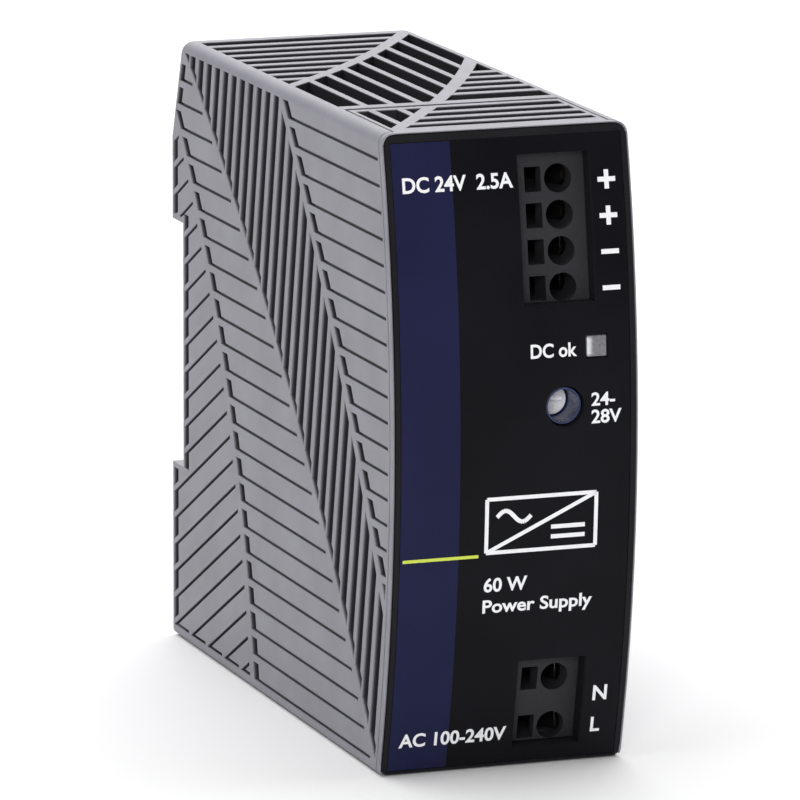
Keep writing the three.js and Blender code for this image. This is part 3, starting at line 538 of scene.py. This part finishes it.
def lettering(name, text, left, base, height, width=None, weight=0.0):
    """One line of text. Left end, base line, height of capitals and width are in millimetres."""
    curve = bpy.data.curves.new(name, "FONT")
    curve.body = text
    curve.size = 1.0
    curve.offset = weight
    curve.resolution_u = 4
    curve.extrude = 0.5
    holder = bpy.data.objects.new(name + "_text", curve)
    bpy.context.scene.collection.objects.link(holder)
    bpy.context.view_layer.update()
    evaluated = holder.evaluated_get(bpy.context.evaluated_depsgraph_get())
    mesh = bpy.data.meshes.new_from_object(evaluated)
    bpy.data.objects.remove(holder)
    bpy.data.curves.remove(curve)
    xs = [vertex.co.x for vertex in mesh.vertices]
    tall = capital_height(weight)
    upright = height * MM / tall
    across = width * MM / (max(xs) - min(xs)) if width else upright
    for vertex in mesh.vertices:
        x, y, z = vertex.co
        vertex.co = Vector(
            (left * MM + (x - min(xs)) * across, -z * PRINT_PROUD * LETTER_DEPTH, base * MM + y * upright)
        )
    add_print(name, mesh, WHITE_INK)


def capital_height(weight):
    """Height of a capital letter in a font of size 1."""
    curve = bpy.data.curves.new("gauge", "FONT")
    curve.body = "H"
    curve.offset = weight
    holder = bpy.data.objects.new("gauge", curve)
    bpy.context.scene.collection.objects.link(holder)
    bpy.context.view_layer.update()
    height = holder.dimensions.y
    bpy.data.objects.remove(holder)
    bpy.data.curves.remove(curve)
    return height


def strokes(name, lines, width, ink=WHITE_INK):
    """Straight printed strokes, each from one [x, z] point to another, in millimetres."""
    work = bmesh.new()
    half = width * MM / 2
    for (x0, z0), (x1, z1) in lines:
        start = Vector((x0 * MM, 0, z0 * MM))
        end = Vector((x1 * MM, 0, z1 * MM))
        along = (end - start).normalized()
        across = Vector((-along.z, 0, along.x)) * half
        corners = [start - across, end - across, end + across, start + across]
        front = [work.verts.new(corner - Vector((0, PRINT_PROUD, 0))) for corner in corners]
        back = [work.verts.new(corner + Vector((0, PRINT_PROUD, 0))) for corner in corners]
        work.faces.new(front)
        work.faces.new(back[::-1])
        for i in range(4):
            j = (i + 1) % 4
            work.faces.new((front[j], front[i], back[i], back[j]))
    mesh = bpy.data.meshes.new(name)
    work.to_mesh(mesh)
    work.free()
    add_print(name, mesh, ink)


WAVE_STEPS = 20


def wave_line(left, right, middle, height):
    """Short strokes along one period of a wave."""
    points = []
    for i in range(WAVE_STEPS + 1):
        part = i / WAVE_STEPS
        points.append((left + (right - left) * part, middle + height * math.sin(2 * math.pi * part)))
    return list(zip(points, points[1:]))


def pole_marks():
    """Two plus signs over two minus signs, right of the output terminals."""
    middle, half = 14.35, 1.3
    thick = 0.66
    gap = thick / 2
    plus_signs = 2
    for index, z in enumerate((82.3, 77.4, 72.5, 67.55)):
        lines = [((middle - half, z), (middle + half, z))]
        if index < plus_signs:
            lines.append(((middle, z + gap), (middle, z + half)))
            lines.append(((middle, z - half), (middle, z - gap)))
        strokes(f"mark_pole_{index + 1}", lines, thick)


def converter_symbol():
    """The usual sign of a converter: a framed box with a diagonal between a wave and a pair of lines."""
    left, right, low, high = -4.2, 11.9, 31.6, 39.2
    frame_lines = [
        ((left, low), (right, low)),
        ((right, low), (right, high)),
        ((right, high), (left, high)),
        ((left, high), (left, low)),
        ((left, low), (right, high)),
    ]
    strokes("symbol_frame", frame_lines, 0.55)
    strokes("symbol_wave", wave_line(left=-2.7, right=2.3, middle=36.6, height=0.85), 0.6)
    level_lines = [((5.3, z), (10.3, z)) for z in (34.7, 33.3)]
    strokes("symbol_level", level_lines, 0.6)


def front_print():
    lettering("print_output", "DC 24V  2.5A", -15.45, 81.95, 2.1, width=16.1, weight=BOLD)
    lettering("print_ok", "DC ok", 2.2, 58.5, 1.95, width=6.8, weight=BOLD)
    lettering("print_range_low", "24-", 11.05, 51.4, 1.85, width=3.5, weight=MEDIUM)
    lettering("print_range_high", "28V", 11.05, 48.95, 1.9, width=4.45, weight=MEDIUM)
    lettering("print_power", "60 W", -4.35, 26.0, 2.0, weight=BOLD)
    lettering("print_kind", "Power Supply", -4.4, 22.95, 1.9, width=16.2, weight=MEDIUM)
    lettering("print_input", "AC 100-240V", -15.45, 3.95, 2.0, width=15.8, weight=BOLD)
    lettering("print_neutral", "N", 12.9, 8.75, 2.25, weight=BOLD)
    lettering("print_line", "L", 12.95, 4.05, 2.2, weight=BOLD)
    pole_marks()
    converter_symbol()
    strokes("accent_line", [((-16.4, 31.2), (-5.3, 31.2))], 0.45, LIME_INK)


front_print()

# ---------------------------------------------------------------- studio


FLOOR_REACH = 6.0
FLOOR_LEVEL = -0.2 * MM


def add_floor():
    mesh = bpy.data.meshes.new("floor")
    corners = [(-1, -1), (1, -1), (1, 1), (-1, 1)]
    points = [(x * FLOOR_REACH, y * FLOOR_REACH, FLOOR_LEVEL) for x, y in corners]
    mesh.from_pydata(points, [], [(0, 1, 2, 3)])
    floor = bpy.data.objects.new("floor", mesh)
    bpy.context.scene.collection.objects.link(floor)
    finish = Finish("pale_floor", specular=0.2)
    cloud = finish.noise(0.2, detail=2)
    finish.colour(finish.blend(cloud, (0.86, 0.86, 0.87), (0.9, 0.9, 0.9)))
    finish.roughness(cloud.rise(0.2, 0.8, 0.8, 0.9))
    mesh.materials.append(finish.material)


def add_light(name, place, target, size, power):
    """A soft rectangular light that shines from its place towards a target, in metres and watts."""
    light = bpy.data.lights.new(name, "AREA")
    light.shape = "RECTANGLE"
    light.size, light.size_y = size
    light.energy = power
    lamp = bpy.data.objects.new(name, light)
    lamp.location = place
    lamp.rotation_euler = (Vector(target) - Vector(place)).to_track_quat("-Z", "Y").to_euler()
    bpy.context.scene.collection.objects.link(lamp)


WORLD_STRENGTH = 0.12


def add_world():
    world = bpy.data.worlds.new("studio")
    world.use_nodes = True
    background = world.node_tree.nodes["Background"]
    background.inputs["Color"].default_value = (1.0, 1.0, 1.0, 1)
    background.inputs["Strength"].default_value = WORLD_STRENGTH
    bpy.context.scene.world = world


def add_camera():
    """Long lens from the front, a little above, with the left side in view."""
    azimuth = math.radians(-20.07)
    elevation = math.radians(11.66)
    roll = math.radians(0.23)
    distance = 1.04758
    aside = -14.14 * MM
    raised = 6.75 * MM
    back = Vector(
        (
            math.sin(azimuth) * math.cos(elevation),
            -math.cos(azimuth) * math.cos(elevation),
            math.sin(elevation),
        )
    )
    level = Vector((math.cos(azimuth), math.sin(azimuth), 0))
    right = Matrix.Rotation(roll, 3, back) @ level
    up = back.cross(right)
    aim = Vector((0, cad_low.y + BULGE, (cad_low.z + cad_high.z) / 2))
    camera = bpy.data.cameras.new("camera")
    camera.lens = 341.57
    camera.sensor_width = 36
    camera.clip_start = 0.05
    camera.clip_end = 50
    holder = bpy.data.objects.new("camera", camera)
    holder.matrix_world = Matrix.Translation(
        aim + back * distance + right * aside + up * raised
    ) @ Matrix((right, up, back)).transposed().to_4x4()
    bpy.context.scene.collection.objects.link(holder)
    bpy.context.scene.camera = holder


add_floor()
add_world()
add_light("overhead", place=(0.1, 1.0, 1.6), target=(0.1, 0.9, 0), size=(3.2, 3.2), power=76.0)
add_light("front_left", place=(-0.5, -1.25, 0.5), target=(0, 0, 0.045), size=(0.5, 0.5), power=9.0)
add_light("rear", place=(0.8, 2.2, 0.65), target=(0, 0, 0.09), size=(1.4, 0.9), power=9.0)
add_camera()
bpy.context.scene.view_settings.view_transform = "Standard"
